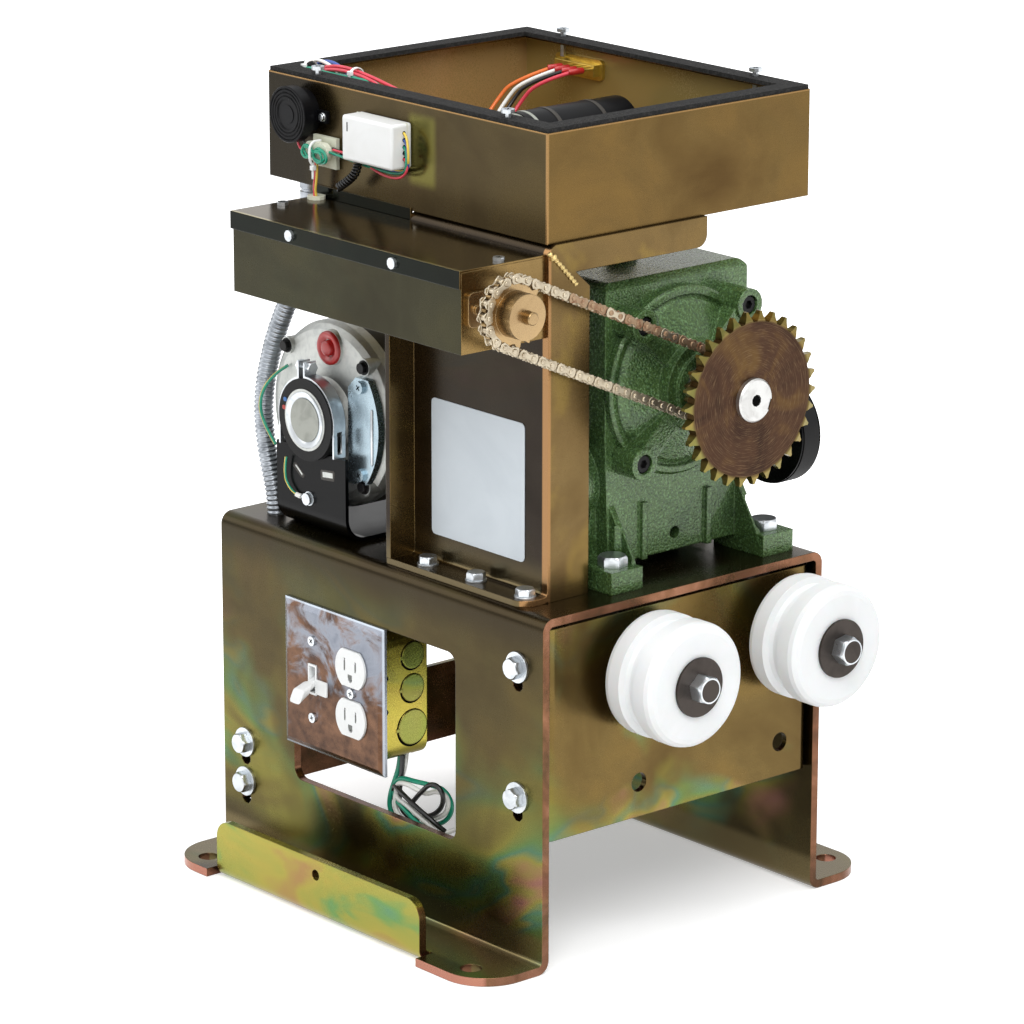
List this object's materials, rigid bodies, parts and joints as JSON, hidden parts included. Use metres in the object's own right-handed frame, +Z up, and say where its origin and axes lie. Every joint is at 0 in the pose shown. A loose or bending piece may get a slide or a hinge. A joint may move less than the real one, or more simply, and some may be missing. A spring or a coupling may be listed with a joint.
{
  "type": "slide gate operator",
  "caption": "Slide gate operator: resilient-mounted motor and belt-driven worm gearbox on a bent steel base, chain sprocket over idler rollers, chain-driven limit screw, open control tray",
  "frame": {"origin": "centre of the four anchor holes, on the underside of the feet", "axes": "+Z up along the height; +X towards the sprocket and idler rollers, which face the gate; +Y along the gate towards the belt drive; the outlet and switch face -Y"},
  "size_m": [0.4422, 0.392, 0.6159],
  "materials": {
    "yellow_zinc_sheet": "yellow-chromated zinc plate, satin with iridescent patches",
    "bright_zinc": "bright zinc plate",
    "green_casting": "green hammered enamel on cast iron",
    "black_oxide": "black enamel, satin",
    "turned_steel": "turned steel",
    "worm_bronze": "machined bronze",
    "chain_steel": "oiled steel, slightly rusted",
    "sprocket_steel": "yellow-chromated steel, turned face",
    "cast_aluminium": "raw cast aluminium",
    "rolled_steel": "dark grey enamel",
    "rubber": "black rubber",
    "white_polymer": "white polyethylene, machined",
    "black_polymer": "black moulded plastic",
    "galvanised": "galvanised sheet",
    "white_gloss": "white moulded plastic, glossy",
    "red_polymer": "red moulded plastic",
    "cream_polymer": "cream moulded plastic with brass terminals",
    "lead_cover": "insulated leads of several colours",
    "board_green": "circuit board",
    "foam": "closed-cell foam strip"
  },
  "bodies": {
    "frame": {"base_frame": "yellow_zinc_sheet", "roller_plate": "yellow_zinc_sheet", "rear_brace": "yellow_zinc_sheet", "frame_bolts": "bright_zinc", "column_bracket": "yellow_zinc_sheet", "deck_bolts": "bright_zinc", "roller_axles": "bright_zinc", "gearbox_housing": "green_casting", "gearbox_covers": "green_casting", "gearbox_screws": "black_oxide", "ball_bearings": "turned_steel", "limit_chain": "chain_steel", "v_belt": "rubber", "motor_shell": "rolled_steel", "motor_end_bells": "cast_aluminium", "motor_mount_rings": "rubber", "motor_cradle": "black_oxide", "motor_clamps": "bright_zinc", "terminal_cover": "galvanised", "ground_wire": "lead_cover", "conduit": "galvanised", "junction_box": "yellow_zinc_sheet", "cover_plate": "galvanised", "toggle_switch": "white_gloss", "duplex_outlet": "white_gloss", "supply_leads": "lead_cover", "supply_coil": "lead_cover", "limit_box_case": "yellow_zinc_sheet", "limit_box_lid": "yellow_zinc_sheet", "limit_bearings": "yellow_zinc_sheet", "limit_switches": "black_polymer", "cover_screws": "bright_zinc", "control_box": "yellow_zinc_sheet", "rim_gasket": "foam", "capacitors": "black_polymer", "terminal_strip": "cream_polymer", "control_board": "board_green", "capacitor_leads": "lead_cover", "buzzer": "black_polymer", "receiver_case": "white_gloss", "control_leads": "lead_cover", "tie_mount": "white_polymer"},
    "motor_rotor_body": {"motor_rotor": "turned_steel", "motor_pulley": "black_oxide"},
    "worm_body": {"worm_shaft": "turned_steel", "gearbox_pulley": "black_oxide"},
    "output_body": {"output_shaft": "turned_steel", "worm_wheel": "worm_bronze", "gate_sprocket": "sprocket_steel", "chain_drive_sprocket": "sprocket_steel"},
    "limit_screw_body": {"limit_shaft": "turned_steel", "limit_sprocket": "sprocket_steel"},
    "open_nut_body": {"open_limit_nut": "white_polymer"},
    "close_nut_body": {"close_limit_nut": "white_polymer"},
    "front_roller_body": {"front_roller": "white_polymer"},
    "rear_roller_body": {"rear_roller": "white_polymer"},
    "toggle_lever_body": {"toggle_lever": "white_gloss"},
    "reset_button_body": {"reset_button": "red_polymer"},
    "close_switch_lever_body": {"close_switch_lever": "turned_steel"},
    "open_switch_lever_body": {"open_switch_lever": "turned_steel"}
  },
  "joints": [
    {"name": "motor_spin", "type": "hinge", "parent": "frame", "child": "motor_rotor_body", "pos_m": [-0.0944, 0, 0.3552], "axis": [0, 1, 0], "range_deg": [-101250, 101250], "deforming": ["v_belt"]},
    {"name": "worm_spin", "type": "hinge", "parent": "frame", "child": "worm_body", "pos_m": [0.0983, 0, 0.3363], "axis": [0, 1, 0], "range_deg": [-81000, 81000]},
    {"name": "output_spin", "type": "hinge", "parent": "frame", "child": "output_body", "pos_m": [0, 0.0305, 0.4063], "axis": [1, 0, 0], "range_deg": [-2700, 2700], "deforming": ["limit_chain"]},
    {"name": "limit_screw_spin", "type": "hinge", "parent": "frame", "child": "limit_screw_body", "pos_m": [0, -0.16072, 0.492], "axis": [1, 0, 0], "range_deg": [-2700, 2700]},
    {"name": "open_nut_slide", "type": "slide", "parent": "frame", "child": "open_nut_body", "axis": [1, 0, 0], "range_m": [-0.01906, 0.01906]},
    {"name": "close_nut_slide", "type": "slide", "parent": "frame", "child": "close_nut_body", "axis": [1, 0, 0], "range_m": [-0.01906, 0.01906]},
    {"name": "front_roller_spin", "type": "hinge", "parent": "frame", "child": "front_roller_body", "pos_m": [0.2167, -0.0402, 0.2113], "axis": [1, 0, 0], "continuous": true},
    {"name": "rear_roller_spin", "type": "hinge", "parent": "frame", "child": "rear_roller_body", "pos_m": [0.2167, 0.1012, 0.2113], "axis": [1, 0, 0], "continuous": true},
    {"name": "toggle_lever_throw", "type": "hinge", "parent": "frame", "child": "toggle_lever_body", "pos_m": [-0.06972, -0.1362, 0.16195], "axis": [1, 0, 0], "range_deg": [-50, 0]},
    {"name": "reset_button_press", "type": "slide", "parent": "frame", "child": "reset_button_body", "axis": [0, 1, 0], "range_m": [0, 0.0015], "stiffness_N_per_m": 250},
    {"name": "close_switch_lever_swing", "type": "hinge", "parent": "frame", "child": "close_switch_lever_body", "pos_m": [-0.05445, -0.17372, 0.4803], "axis": [0, 1, 0], "range_deg": [-9, 0], "stiffness_Nm_per_rad": 0.02},
    {"name": "open_switch_lever_swing", "type": "hinge", "parent": "frame", "child": "open_switch_lever_body", "pos_m": [0.08645, -0.17372, 0.4803], "axis": [0, 1, 0], "range_deg": [0, 9], "stiffness_Nm_per_rad": 0.02}
  ],
  "couplings": [
    {"joint": "worm_spin", "follows": "motor_spin", "ratio": 0.8},
    {"joint": "output_spin", "follows": "motor_spin", "ratio": -0.026667},
    {"joint": "limit_screw_spin", "follows": "motor_spin", "ratio": -0.026667},
    {"joint": "open_nut_slide", "follows": "motor_spin", "m_per_rad": 0.00001078},
    {"joint": "close_nut_slide", "follows": "motor_spin", "m_per_rad": 0.00001078}
  ]
}
